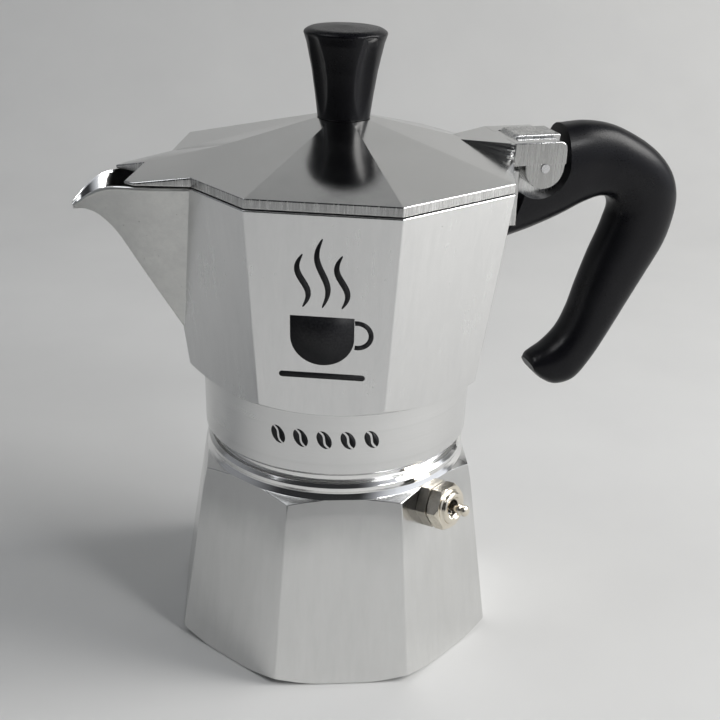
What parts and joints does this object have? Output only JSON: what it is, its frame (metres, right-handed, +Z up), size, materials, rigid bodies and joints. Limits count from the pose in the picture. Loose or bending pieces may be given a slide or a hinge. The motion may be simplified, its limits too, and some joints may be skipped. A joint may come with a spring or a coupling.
{
  "type": "moka pot",
  "caption": "Stovetop moka pot: octagonal boiler and pouring vessel that screw together, hinged lid, black knob and handle, safety valve, funnel, gasket and filter plate.",
  "frame": {"origin": "centre of the boiler's flat base, on the surface the pot stands on", "axes": "+Z up along the screw axis, -X towards the spout, +X towards the handle, +Y to the right when the pot is seen from the handle towards the spout"},
  "size_m": [0.1657, 0.0944, 0.1643],
  "materials": {
    "boiler_aluminium": "satin cast aluminium, ground flat on the facets",
    "vessel_aluminium": "brushed upright on the facets, turned on the band",
    "lid_aluminium": "polished",
    "sheet_aluminium": "pressed sheet, satin",
    "black_plastic": "satin with a fine grain",
    "nickel_plated_brass": "nickel plated, turned",
    "brass": "turned",
    "steel": "plain",
    "white_rubber": "matte",
    "dark_rubber": "matte"
  },
  "bodies": {
    "boiler": {"boiler": "boiler_aluminium", "valve_body": "nickel_plated_brass", "valve_cap": "nickel_plated_brass", "valve_spring": "steel"},
    "valve_stem": {"valve_stem": "nickel_plated_brass", "valve_seal": "dark_rubber"},
    "funnel": {"funnel": "sheet_aluminium", "funnel_strainer": "sheet_aluminium"},
    "seal": {"gasket": "white_rubber", "filter_plate": "sheet_aluminium"},
    "vessel": {"vessel": "vessel_aluminium", "column": "vessel_aluminium", "handle": "black_plastic", "handle_screw": "steel", "hinge_pin": "steel"},
    "lid": {"lid": "lid_aluminium", "knob": "black_plastic", "knob_insert": "brass", "knob_screw": "steel", "knob_washer": "steel"}
  },
  "joints": [
    {"name": "vessel_rise", "type": "slide", "parent": "boiler", "child": "seal", "axis": [0, 0, 1], "range_m": [0, 0.009]},
    {"name": "vessel_turn", "type": "hinge", "parent": "seal", "child": "vessel", "pos_m": [0, 0, 0.06], "axis": [0, 0, 1], "range_deg": [0, 1080]},
    {"name": "funnel_lift", "type": "slide", "parent": "boiler", "child": "funnel", "axis": [0, 0, 1], "range_m": [0, 0.0045]},
    {"name": "lid_open", "type": "hinge", "parent": "vessel", "child": "lid", "pos_m": [0.0522, 0, 0.1286], "axis": [0, 1, 0], "range_deg": [0, 95]},
    {"name": "valve_lift", "type": "slide", "parent": "boiler", "child": "valve_stem", "axis": [0.5319, -0.8349, 0.1413], "range_m": [0, 0.001], "stiffness_N_per_m": 2000, "springref_m": -0.003}
  ],
  "couplings": [
    {"joint": "vessel_rise", "follows": "vessel_turn", "m_per_rad": 0.00047746},
    {"joint": "funnel_lift", "follows": "vessel_turn", "m_per_rad": 0.00023873}
  ]
}
